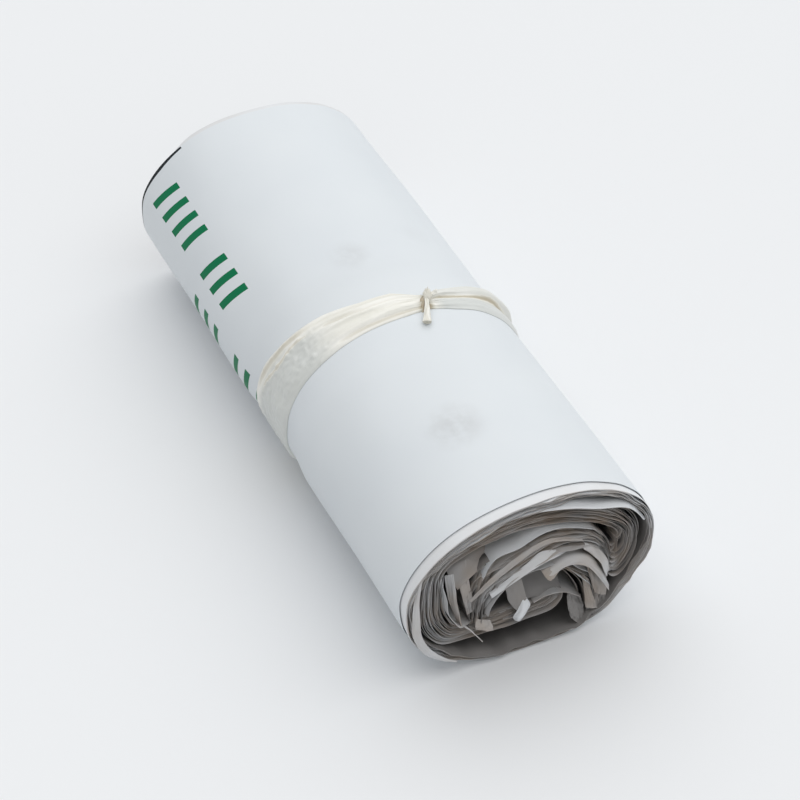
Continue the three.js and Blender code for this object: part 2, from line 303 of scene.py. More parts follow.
filmIor = 1.51  # polyethylene
printed = {
    "film": "#dde2e5",
    "cool": "#d3d9de",
    "green": "#007249",
    "black": "#23282b",
    "smudge": "#b6b8b9",
    "cloudSize": 45.45,  # the haze's patches, in millimetres as are all the sizes here
    "blotchSize": 5.882,
    "grainSize": 8.333,
    "grainDepth": 0.6,
    "barPitch": 10.2,  # from bar to bar
    "barShare": 0.4,
    "barSlant": 0.35,  # how far a bar leans along the roll for each millimetre round it
    "rows": [
        {"from": -74.0, "bars": 8, "blank": 4, "round": (115.0, 130.5)},
        {"from": -20.0, "bars": 7, "blank": 3, "round": (140.5, 154.0)},
    ],
    "rimBar": {"to": -127.0, "widestAt": 118.0, "narrowing": 0.05, "round": (105.0, 150.0)},
    # Place along and across the roll, radius and strength
    "smudges": [(80.1, -8.0, 15.0, 0.5), (-33.7, 35.0, 12.0, 0.35), (-25.5, -2.0, 11.0, 0.3)],
    "smudgeCore": 0.15,  # share of the radius that is at full strength
    "rough": 0.45,
    "filmGloss": 0.5,
    "inkGloss": 0.1,  # the ink is flatter than the film
}


# White polyethylene mailer film, blown and corona treated: a satin skin with a faint haze,
# printed with flat inks in plain slanted bars
def printedFilm():
    material, tree, shader = newMaterial("printedMailerFilm")
    film = addNode(tree, "ShaderNodeUVMap", {"uv_map": "film"})
    split = addNode(tree, "ShaderNodeSeparateXYZ", None, {0: film.outputs[0]})
    place = addNode(tree, "ShaderNodeTexCoord").outputs["Object"]
    # Each step is one maths node: its name, its operation and what it works on. The black
    # bar lies along the far rim and narrows both ways from its widest place.
    bar = printed["rimBar"]
    low, high = bar["round"]
    steps = [
        ("along", "MULTIPLY", "x", metre),
        ("around", "MULTIPLY", "arc", metre),
        ("slanted", "MULTIPLY_ADD", "around", printed["barSlant"], "along"),
        ("fromWidest", "SUBTRACT", "around", bar["widestAt"]),
        ("offWidest", "ABSOLUTE", "fromWidest"),
        ("narrowed", "MULTIPLY_ADD", "offWidest", bar["narrowing"], "along"),
        ("atRim", "LESS_THAN", "narrowed", bar["to"]),
        ("onSide", "COMPARE", "around", (low + high) / 2, (high - low) / 2),
        ("black", "MULTIPLY", "atRim", "onSide"),
    ]
    for row in printed["rows"]:
        low, high = row["round"]
        steps += [
            ("fromFirst", "SUBTRACT", "slanted", row["from"]),
            ("bars", "DIVIDE", "fromFirst", printed["barPitch"]),
            ("number", "FLOOR", "bars"),
            ("part", "FRACT", "bars"),
            ("inBar", "LESS_THAN", "part", printed["barShare"]),
            ("counted", "COMPARE", "number", (row["bars"] - 1) / 2, row["bars"] / 2),
            ("blank", "COMPARE", "number", row["blank"], 0.5),
            ("notBlank", "SUBTRACT", 1.0, "blank"),
            ("inRow", "COMPARE", "around", (low + high) / 2, (high - low) / 2),
            ("mask", "MULTIPLY", "inBar", "counted"),
            ("mask", "MULTIPLY", "mask", "notBlank"),
            ("mask", "MULTIPLY", "mask", "inRow"),
            ("green", "MAXIMUM", "green", "mask"),
        ]
    steps += [
        ("inked", "MAXIMUM", "green", "black"),
        ("gloss", "MULTIPLY_ADD", "inked", printed["inkGloss"] - printed["filmGloss"], printed["filmGloss"]),
    ]
    values = {"x": split.outputs[0], "arc": split.outputs[1], "green": 0.0}
    for name, operation, *terms in steps:
        step = addNode(tree, "ShaderNodeMath", {"operation": operation},
                       {i: values.get(term, term) for i, term in enumerate(terms)})
        values[name] = step.outputs[0]
    clouds = addNode(tree, "ShaderNodeTexNoise", None,
                     {"Vector": place, "Scale": metre / printed["cloudSize"], "Detail": 2.0})
    layers = [(clouds.outputs[0], "cool"), (values["green"], "green"), (values["black"], "black")]
    spots = addNode(tree, "ShaderNodeTexNoise", None,
                    {"Vector": place, "Scale": metre / printed["blotchSize"], "Detail": 4.0})
    blotches = addNode(tree, "ShaderNodeMapRange", {"interpolation_type": "SMOOTHSTEP"},
                       {"Value": spots.outputs[0], "From Min": 0.15, "From Max": 0.72})
    for x, y, radius, strength in printed["smudges"]:
        centre = (x / metre, y / metre, roll["height"] / metre)
        away = addNode(tree, "ShaderNodeVectorMath", {"operation": "DISTANCE"}, {0: place, 1: centre})
        soft = addNode(tree, "ShaderNodeMapRange", {"interpolation_type": "SMOOTHSTEP"},
                       {"Value": away.outputs["Value"], "From Min": radius / metre,
                        "From Max": printed["smudgeCore"] * radius / metre, "To Max": strength})
        share = addNode(tree, "ShaderNodeMath", {"operation": "MULTIPLY"},
                        {0: soft.outputs[0], 1: blotches.outputs[0]})
        layers.append((share.outputs[0], "smudge"))
    base = linear(printed["film"])
    for share, colour in layers:
        mix = addNode(tree, "ShaderNodeMix", {"data_type": "RGBA"},
                      {0: share, 6: base, 7: linear(printed[colour])})
        base = mix.outputs[2]
    tree.links.new(base, shader.inputs["Base Color"])
    grain = addNode(tree, "ShaderNodeTexNoise", None,
                    {"Vector": place, "Scale": metre / printed["grainSize"], "Detail": 3.0})
    bump = addNode(tree, "ShaderNodeBump", None,
                   {"Strength": 0.12, "Distance": printed["grainDepth"] / metre,
                    "Height": grain.outputs[0]})
    tree.links.new(bump.outputs[0], shader.inputs["Normal"])
    tree.links.new(values["gloss"], shader.inputs["Specular IOR Level"])
    shader.inputs["Roughness"].default_value = printed["rough"]
    shader.inputs["IOR"].default_value = filmIor
    return material


leafFilm = {
    "light": "#e4e7ea",
    # The grey is partly painted shade, and the dark below is painted shade, the shade deep between the bags
    "grey": "#9c9997",
    "shadeDark": "#3b3a39",
    "dust": "#a4907b",
    "mostDust": 0.8,
    "dustSize": 18.18,  # its patches, in millimetres
    "dentSize": 11.11,
    "dentDepth": 0.8,
    "rough": 0.5,
}


# The same film at the roll's ends, cut by a hot knife: white outside and grey inside, the grey partly painted
# shade, and painted dark as shade deep between the bags, with dust settled on the edges. The tone runs from
# 0, white, over 1, grey, to 2, dark, which is painted shade.
def plainFilm():
    material, tree, shader = newMaterial("plainMailerFilm")
    tone = addNode(tree, "ShaderNodeAttribute", {"attribute_name": "tone"}).outputs["Fac"]
    place = addNode(tree, "ShaderNodeTexCoord").outputs["Object"]
    greyer = addNode(tree, "ShaderNodeMapRange", None, {"Value": tone})
    # The dark mixed in past tone 1 is painted shade, for the shade deep between the bags
    shadeDarkening = addNode(tree, "ShaderNodeMapRange", None, {"Value": tone, "From Min": 1.0, "From Max": 2.0})
    patches = addNode(tree, "ShaderNodeTexNoise", None,
                      {"Vector": place, "Scale": metre / leafFilm["dustSize"], "Detail": 2.0})
    dusty = addNode(tree, "ShaderNodeMapRange", None,
                    {"Value": patches.outputs[0], "From Min": 0.35, "From Max": 0.65,
                     "To Max": leafFilm["mostDust"]})
    # Dust has settled on the edges and hardly at all deep inside
    settled = addNode(tree, "ShaderNodeMapRange", None, {"Value": tone, "From Min": 1.3, "From Max": 0.9})
    dust = dusty.outputs[0]
    for factor in (settled, greyer):
        product = addNode(tree, "ShaderNodeMath", {"operation": "MULTIPLY"}, {0: dust, 1: factor.outputs[0]})
        dust = product.outputs[0]
    base = linear(leafFilm["light"])
    for share, colour in ((greyer.outputs[0], "grey"), (shadeDarkening.outputs[0], "shadeDark"), (dust, "dust")):
        mix = addNode(tree, "ShaderNodeMix", {"data_type": "RGBA"},
                      {0: share, 6: base, 7: linear(leafFilm[colour])})
        base = mix.outputs[2]
    tree.links.new(base, shader.inputs["Base Color"])
    dents = addNode(tree, "ShaderNodeTexNoise", None,
                    {"Vector": place, "Scale": metre / leafFilm["dentSize"], "Detail": 4.0})
    bump = addNode(tree, "ShaderNodeBump", None,
                   {"Strength": 0.25, "Distance": leafFilm["dentDepth"] / metre,
                    "Height": dents.outputs[0]})
    tree.links.new(bump.outputs[0], shader.inputs["Normal"])
    shader.inputs["Roughness"].default_value = leafFilm["rough"]
    shader.inputs["IOR"].default_value = filmIor
    return material


tieFilm = {
    "haze": "#c9cdcb",
    # high is a painted highlight, laid over the film in streaks
    "high": "#f6f5ef",
    "mid": "#e6e5dc",
    # The crease colour is painted shade
    "creaseShade": "#b9b19b",
    "knotBrown": "#a58b70",
    "streakWidth": 3.846,  # in millimetres along the roll
    "streakLength": 23.81,
    "streakDepth": 0.5,
    "rough": 0.28,
}


# Thin natural polyethylene strip, stretched and gathered: cream where it lies in many plies, hazy where it is
# single, glossy on its folds, with lighter streaks of painted highlight, painted shade in its creases and
# brown at the knot. The tone runs from -1, single, over 0, many plies, and 1, creased, which is painted
# shade, to 2, brown at the knot.
def gatheredFilm():
    material, tree, shader = newMaterial("gatheredTieFilm")
    tone = addNode(tree, "ShaderNodeAttribute", {"attribute_name": "tone"}).outputs["Fac"]
    film = addNode(tree, "ShaderNodeUVMap", {"uv_map": "film"})
    scale = (metre / tieFilm["streakWidth"], metre / tieFilm["streakLength"], 1.0)
    stretched = addNode(tree, "ShaderNodeMapping", None, {"Vector": film.outputs[0], "Scale": scale})
    streaks = addNode(tree, "ShaderNodeTexNoise", None,
                      {"Vector": stretched.outputs[0], "Scale": 1.0, "Detail": 3.0, "Distortion": 0.6})
    # Each layer is a colour and the range over which it takes the place of what is below
    base = linear(tieFilm["mid"])
    layers = [
        # The high streaks are painted highlight
        ("high", streaks.outputs[0], 0.35, 0.7),
        ("haze", tone, 0.0, -1.0),
        ("creaseShade", tone, 0.0, 1.0),
        ("knotBrown", tone, 1.0, 2.0),
    ]
    for colour, value, start, end in layers:
        share = addNode(tree, "ShaderNodeMapRange", None,
                        {"Value": value, "From Min": start, "From Max": end})
        mix = addNode(tree, "ShaderNodeMix", {"data_type": "RGBA"},
                      {0: share.outputs[0], 6: base, 7: linear(tieFilm[colour])})
        base = mix.outputs[2]
    tree.links.new(base, shader.inputs["Base Color"])
    bump = addNode(tree, "ShaderNodeBump", None,
                   {"Strength": 0.3, "Distance": tieFilm["streakDepth"] / metre,
                    "Height": streaks.outputs[0]})
    tree.links.new(bump.outputs[0], shader.inputs["Normal"])
    shader.inputs["Roughness"].default_value = tieFilm["rough"]
    shader.inputs["IOR"].default_value = filmIor
    return material


printedMaterial = printedFilm()
plainMaterial = plainFilm()
tieMaterial = gatheredFilm()
print("materials made")


# The outermost bag: a strip wound once round the roll, with its free edge laid over its
# start at the back. It follows the waist and is slack in broad soft swells.
outerBag = {
    "farEdge": -128.9,
    "nearEdge": 124.4,
    "startAngle": math.radians(-42),
    "overlap": math.radians(9),
    "film": 0.2,
    "startInset": 0.3,
    "startFade": 0.06,  # share of the turn over which the tucked start comes up
    "swell": 0.3,
    "swellLength": 150,
    "farWave": 0.06,  # how wavy its two edges are
    "nearWave": 0.12,
    "waveLength": 90,
    "steps": 420,
    "stations": 56,
}


# How far the outermost bag bulges out of the outline, which the bags below it follow
def swellAt(angle, x):
    ring = softNoise(13, np.cos(angle) * 0.9, np.sin(angle) * 0.9, x / outerBag["swellLength"])
    return outerBag["swell"] * (ring - 1) / 2


# Stations along the roll by steps round it. A point lies on the outline, moved in by the
# waist and under the bag's own end, and out by the swell.
def wrapOuterBag():
    spec = outerBag
    turn = np.linspace(0, 1, spec["steps"])
    angle = spec["startAngle"] + turn * (2 * math.pi + spec["overlap"])
    arc = arcAt(angle)
    along = np.linspace(0, 1, spec["stations"])
    farEdge = spec["farEdge"] + spec["farWave"] * softNoise(12, arc / spec["waveLength"])
    nearEdge = spec["nearEdge"] + spec["nearWave"] * softNoise(11, arc / spec["waveLength"])
    x = farEdge[None, :] + (nearEdge - farEdge)[None, :] * along[:, None]
    lap = smoothStep(spec["startFade"], 0.0, turn)
    inset = waist(x, angle[None, :]) + spec["startInset"] * lap[None, :] - swellAt(angle[None, :], x)
    y, z = outline(angle[None, :] + 0 * x, inset)
    yIn, zIn = outline(angle[None, :] + 0 * x, inset + spec["film"])
    film = np.stack([x, arc[None, :] + 0 * x], -1)
    part = shell(np.stack([x, y, z], -1), np.stack([x, yIn, zIn], -1), film, 0.0)
    putMesh("outerBag", [part], printedMaterial, "mailer_roll")


wrapOuterBag()

# The loose bags between the outermost one and the stack. The second edge that the camera
# sees is the first one's, which stands out past the outermost bag. The band says how deep
# they lie in all, at eight places round the roll from its +Y side, and firstBack how far
# the first one's near edge lies back at the same places.
looseBags = {
    "count": 8,
    "film": 0.2,
    "firstInset": 0.36,
    "lapInset": 0.35,
    "lapDegrees": (-54, -44, -32, -16),  # where the outermost bag's start lies under its end
    "band": [3.2, 5.0, 6.0, 6.2, 5.2, 4.2, 3.2, 3.2],
    "nearEdges": [129.8, 129.1, 128.5, 128.9, 128.2, 128.6, 128.1, 128.4],
    "farEdges": [-131.3, -130.4, -128.9, -129.6, -128.2, -128.8, -127.6, -128.1],
    "tones": [0.1, 0.1, 0.35, 0.1, 0.5, 0.15, 0.45, 0.2],
    # The inner tones are partly the film's grey inside and partly painted shade. The deep tone is painted
    # shade deep between the bags, the under tone painted shade on the inner faces along the roll's underside,
    # and the far tone a painted shadow just past the outermost bag's far edge.
    "innerTones": [0.2, 0.5, 1.0, 0.4, 1.2, 0.5, 1.3, 1.35],
    "deepShadeTone": 1.75,
    "underShadeTone": 1.15,
    "edgeTone": 0.6,
    "farShadowTone": 0.15,
    "whiteLip": {"bag": 7, "degrees": (72, 90, 118, 135), "out": 1.2},
    "trimmed": {"degrees": (-60, -38, -26, 4), "back": 1.5},
    "farShorter": {"degrees": (118, 142, 200, 215), "back": 3.0},
    "bottomLips": [1.6, 1.2, 0.6, 1.2, 0.8, 1.0, 1.4, 5.2],
    "firstBack": [0.9, 1.1, 0.7, 0.2, 0.6, 0.5, 0.0, 0.0],
    "lean": 0.3,  # each bag stands out past the next on the side where the camera sees its inside
    "towardsCamera": (0.42, -0.91),
    "middleInset": 1.6,
    "middleReach": 16,
    "gapSpread": 0.9,
    "crumple": 0.3,
    "crumpleReach": 14,
    "floorWrinkle": 0.5,
    "floorReach": 10,
    "wave": 0.45,  # how wavy the near edges are, and how rippled
    "ripple": 0.15,
    "rippleLength": 11,
    "unshadedReach": (1.5, 8.0),  # how deep the inner faces stay free of the painted shade
    "steps": 300,
}
# Shares of a film's width, close together near its two ends
endStations = np.array([0, 0.002, 0.004, 0.008, 0.014, 0.025, 0.045, 0.09, 0.18, 0.4, 0.65, 0.85, 0.92,
                        0.955, 0.975, 0.986, 0.992, 0.996, 0.9985, 1.0])


# Reads a list of values spaced evenly round a ring, with smooth steps between them
def roundRing(values, angle):
    values = np.asarray(values, float)
    place = (angle / (2 * math.pi) % 1) * len(values)
    low = place.astype(int) % len(values)
    share = smoothStep(0, 1, place - np.floor(place))
    return values[low] * (1 - share) + values[(low + 1) % len(values)] * share


# Whether each film of a pile clings to the one before it
def clinging(count, share, seed):
    return np.random.default_rng(seed).uniform(size=count + 1) < share


# Depths of a pile's films between 0 and its thickness: fixed films, and gaps of uneven
# width that widen and narrow smoothly along the pile, so that films never cross. A gap
# before a clinging film is narrow.
def pileDepths(count, film, thickness, seed, spread, clings, *coords):
    widths = np.where(clings, 0.4, 1.2) * np.exp(0.35 * np.random.default_rng(seed).normal(size=count + 1))
    gaps = [widths[k] * np.exp(spread * softNoise(seed + k, *coords)) for k in range(count + 1)]
    total = sum(gaps)
    room = np.maximum(thickness - count * film, 0.1 * thickness)
    depths, depth = [], 0
    for k in range(count):
        depth = depth + gaps[k] / total * room
        depths.append(depth + k * film)
    return depths


# 1 at either end of the roll, fading inwards
def endness(x, reach):
    return np.exp(-np.maximum(np.minimum(x - farEnd, nearEnd - x), 0) / reach)


# Each bag is a closed ring, stations along the roll by steps round it. A point lies as deep
# under the outline as the pile says there, crumpled near the ends, between wavy edges.
def wrapLooseBags():
    spec = looseBags
    angle = np.linspace(0, 2 * math.pi, spec["steps"], endpoint=False) - math.pi / 2
    ring = np.stack([np.cos(angle), np.sin(angle)])
    degrees = np.degrees(angle)
    lap = spec["lapInset"] * stretch(*spec["lapDegrees"], degrees)
    band = roundRing(spec["band"], angle) - spec["firstInset"]
    x0 = farEnd + (nearEnd - farEnd) * endStations[:, None] + 0 * angle[None, :]
    depths = pileDepths(spec["count"] - 1, spec["film"], band[None, :] - 0.6, 100, spec["gapSpread"],
                        np.zeros(spec["count"], bool), ring[0] * 1.1 + 0 * x0, ring[1] * 1.1 + 0 * x0,
                        x0 / 120)
    parts = []
    under = np.clip(1 - outline(angle, 0)[1] / (roll["widestLevel"] / 2), 0, 1)
    sideways, upwards = spec["towardsCamera"]
    insideSeen = smoothStep(0.0, 0.7, sideways * ring[0] + upwards * ring[1])
    lip = spec["whiteLip"]
    trimmed = spec["trimmed"]["back"] * stretch(*spec["trimmed"]["degrees"], degrees)
    farShorter = spec["farShorter"]["back"] * stretch(*spec["farShorter"]["degrees"], degrees)
    for k in range(spec["count"]):
        inner = k / (spec["count"] - 1)
        wave = spec["wave"] * softNoise(140 + k, ring[0] * 1.3, ring[1] * 1.3)
        wave = wave + spec["ripple"] * softNoise(160 + k, arcAt(angle) / spec["rippleLength"])
        near = spec["nearEdges"][k] + (wave if k else 0.25 * wave) + spec["bottomLips"][k] * under
        near = near + spec["lean"] * (3.5 - k) * insideSeen * (k > 0) - trimmed
        if k == 0:
            near = near - roundRing(spec["firstBack"], angle)
        tone = spec["tones"][k] + 0 * angle
        if k == lip["bag"]:
            run = stretch(*lip["degrees"], degrees)
            near = near + lip["out"] * run
            tone = tone * (1 - run)
        far = spec["farEdges"][k] + 0.3 * wave * (k > 0) + farShorter
        x = far[None, :] + (near - far)[None, :] * endStations[:, None]
        inset = spec["firstInset"] + lap[None, :] + 0 * x
        if k:
            inset = inset + spec["film"] + 0.1 + depths[k - 1]
            crumple = softNoise(200, ring[0] * 3.5 + 0 * x, ring[1] * 3.5 + 0 * x, x / 45)
            inset = inset + spec["crumple"] * endness(x, spec["crumpleReach"]) * crumple
            wrinkle = under[None, :] * softNoise(210, arcAt(angle)[None, :] / 14 + 0 * x, x / 50)
            inset = inset + spec["floorWrinkle"] * endness(x, spec["floorReach"]) * wrinkle
            inset = np.maximum(inset, spec["firstInset"] + spec["film"] * k)
        inset = inset - swellAt(angle[None, :], x) * (1 - inner)
        # Between the ends, where nothing shows them, they lie deep enough to pass the waist
        inset = inset + spec["middleInset"] * (1 - endness(x, spec["middleReach"])) * (1 - inner * 0.9)
        y, z = outline(angle[None, :] + 0 * x, inset)
        yIn, zIn = outline(angle[None, :] + 0 * x, inset + spec["film"])
        film = np.stack([x, arcAt(angle)[None, :] + 0 * x], -1)
        rim = spec["edgeTone"] * smoothStep(0.45, 0.1, near[None, :] - x)
        # The far tone paints a shadow on each bag's outside just past the outermost bag's far edge
        rim = rim + spec["farShadowTone"] * smoothStep(outerBag["farEdge"] + 0.5, outerBag["farEdge"] - 0.5, x)
        # The inner faces are painted darker as shade: along the roll's underside, and deep inside past their
        # unshaded reach
        deep = smoothStep(*spec["unshadedReach"], near[None, :] - x)
        shallow = np.maximum(spec["innerTones"][k], spec["underShadeTone"] * under)[None, :]
        innerTone = shallow * (1 - deep) + spec["deepShadeTone"] * deep
        parts.append(shell(np.stack([x, y, z], -1), np.stack([x, yIn, zIn], -1), film,
                           np.maximum(tone[None, :], rim), closes=True, innerTone=innerTone))
    putMesh("looseBags", parts, plainMaterial, "mailer_roll")


wrapLooseBags()

# The course of the stack through the section, from the end that curls up in the bottom of
# the roll, round by the left and over the top, down the right, back up in a hairpin and
# left again over the hollow. Each row is a place on its outer side and the place across
# from it on its inner side, across as a share of half the width and up as a share of the
# height, as in the solid. The last row lets the ends hang a little lower than the solid's.
stackCourse = [
    [0.290, 0.270, 0.108, 0.285], [0.267, 0.201, 0.063, 0.268], [0.157, 0.155, -0.020, 0.266],
    [-0.098, 0.149, -0.157, 0.268], [-0.437, 0.156, -0.392, 0.266], [-0.676, 0.174, -0.559, 0.297],
    [-0.800, 0.256, -0.627, 0.360], [-0.869, 0.373, -0.663, 0.443], [-0.880, 0.512, -0.676, 0.546],
    [-0.851, 0.657, -0.678, 0.647], [-0.776, 0.755, -0.639, 0.714], [-0.659, 0.827, -0.553, 0.759],
    [-0.494, 0.870, -0.380, 0.783], [-0.265, 0.893, -0.184, 0.797], [-0.020, 0.899, 0.016, 0.786],
    [0.204, 0.885, 0.184, 0.761], [0.404, 0.852, 0.349, 0.725], [0.612, 0.783, 0.514, 0.664],
    [0.780, 0.686, 0.627, 0.598], [0.875, 0.571, 0.698, 0.545], [0.898, 0.462, 0.727, 0.506],
    [0.867, 0.344, 0.724, 0.484], [0.796, 0.252, 0.706, 0.476], [0.714, 0.210, 0.688, 0.476],
    [0.645, 0.249, 0.671, 0.485], [0.620, 0.360, 0.639, 0.528], [0.571, 0.451, 0.573, 0.593],
    [0.473, 0.520, 0.478, 0.650], [0.349, 0.564, 0.333, 0.701], [0.208, 0.575, 0.176, 0.732],
    [0.063, 0.538, 0.020, 0.722], [-0.102, 0.483, -0.157, 0.705], [-0.247, 0.437, -0.345, 0.675],
    [-0.322, 0.373, -0.482, 0.606], [-0.345, 0.326, -0.553, 0.429], [-0.357, 0.299, -0.537, 0.351],
    [-0.380, 0.215, -0.510, 0.240],
]
tuckCourse = [
    [-0.071, 0.487, -0.073, 0.459], [0.088, 0.530, 0.067, 0.470], [0.225, 0.552, 0.167, 0.448],
    [0.357, 0.530, 0.247, 0.401], [0.478, 0.462, 0.325, 0.324], [0.565, 0.360, 0.396, 0.230],
    [0.604, 0.249, 0.439, 0.136], [0.602, 0.145, 0.447, 0.070], [0.555, 0.095, 0.402, 0.050],
]

# A pile of bags along a course. A shift moves films along the roll: it is largest at one depth of the pile
# and fades away from it, over a run of rows. A sheet is one film of the pile that stands out, or lies back,
# over a run of rows, with its own tone. A film's face keeps its tone for its unshaded reach from its edges,
# and past that it is painted dark as the shade between the bags. Tones over 1 in shifts and sheets are
# painted shade too.
stack = {
    "course": stackCourse,  # the rows below are places on it
    "count": 24,
    "film": 0.13,
    "clinging": 0.35,
    "seed": 300,
    "gapSpread": 0.6,
    "stagger": 1.2,
    "raggedEnds": (0.7, 1.9),
    "crumple": 0.35,
    "stepsPerRow": 6,
    "tones": (0.15, 0.8),
    "unshadedReach": (0.5, 1.8),
    "deepShadeTone": 1.8,
    "shifts": [
        {"rows": (26.5, 37.5), "depth": 0.0, "fade": 0.5, "out": 2.4, "tone": 0.85, "unshaded": 0.8},
        {"rows": (32.5, 39), "depth": 0.5, "fade": 2.0, "out": 0.0, "tone": 1.15, "unshaded": 0.5},
        {"rows": (10.5, 17.5), "depth": 0.5, "fade": 2.0, "out": 0.0, "tone": 0.75, "unshaded": 0.5},
        {"rows": (16.5, 23.5), "depth": 0.5, "fade": 2.0, "out": 0.0, "tone": 1.0, "unshaded": 0.3},
        {"rows": (-2.0, 5.0), "depth": 0.5, "fade": 2.0, "out": 0.0, "tone": 0.7, "unshaded": 0.5},
    ],
    "sheets": [
        {"film": 0, "rows": (12.5, 19.5), "out": 0.8, "tone": 0.8, "unshaded": 1.0},
        {"film": 1, "rows": (9, 20.5), "out": -1.0, "tone": 1.4, "unshaded": 0.3},
        {"film": 0, "rows": (28.5, 34.5), "out": 0.6, "tone": 0.4, "unshaded": 12.0},
        {"film": 1, "rows": (27.5, 35), "out": 1.0, "tone": 0.6, "unshaded": 2.0},
        {"film": 3, "rows": (28.5, 34), "out": 1.2, "tone": 0.5, "unshaded": 2.0},
        {"film": 6, "rows": (27.5, 34), "out": 1.0, "tone": 0.35, "unshaded": 2.0},
        {"film": 10, "rows": (27.5, 34), "out": 0.8, "tone": 0.45, "unshaded": 2.0},
        {"film": 23, "rows": (-2, 5), "out": 0.3, "tone": 0.5, "unshaded": 20.0},
        {"film": 23, "rows": (26, 33.5), "out": 2.2, "tone": 0.0, "unshaded": 18.0},
        {"film": 22, "rows": (26, 34), "out": 0.2, "tone": 1.2, "unshaded": 1.0},
        {"film": 23, "rows": (4, 9.5), "out": 3.6, "tone": 0.2, "unshaded": 14.0},
        {"film": 21, "rows": (4.5, 10), "out": 1.2, "tone": 0.3, "unshaded": 4.0},
        {"film": 23, "rows": (10, 18), "out": -1.0, "tone": 0.9, "unshaded": 8.0},
        {"film": 23, "rows": (16.5, 24.5), "out": 0.3, "tone": 0.9, "unshaded": 9.0},
    ],
}
tucked = {
    "course": tuckCourse,
    "count": 9,
    "film": 0.15,
    "clinging": 0.2,
    "seed": 500,
    "gapSpread": 0.9,
    "stagger": 1.8,
    "raggedEnds": (0.8, 0.4),
    "crumple": 0.5,
    "stepsPerRow": 7,
    "tones": (0.2, 0.9),
    "unshadedReach": (0.6, 2.0),
    "deepShadeTone": 1.9,
    "shifts": [
        {"rows": (2, 8), "depth": 0.5, "fade": 2.0, "out": 0.0, "tone": 0.7, "unshaded": 0.5},
    ],
    "sheets": [
        {"film": 0, "rows": (0, 4.5), "out": 3.0, "tone": 0.25, "unshaded": 10.0},
        {"film": 2, "rows": (2.5, 7), "out": 1.5, "tone": 0.1, "unshaded": 5.0},
        {"film": 5, "rows": (3, 7.5), "out": 1.0, "tone": 0.2, "unshaded": 4.0},
    ],
}
fades = {"shift": 1.5, "sheet": 1.2}  # rows over which each comes and goes
# How the films' edges wave and fold along the course, and how far in they are crumpled
edgeWaves = {"wave": 0.35, "waveLength": 60, "fold": 0.22, "foldLength": 16, "crumpleReach": 12}


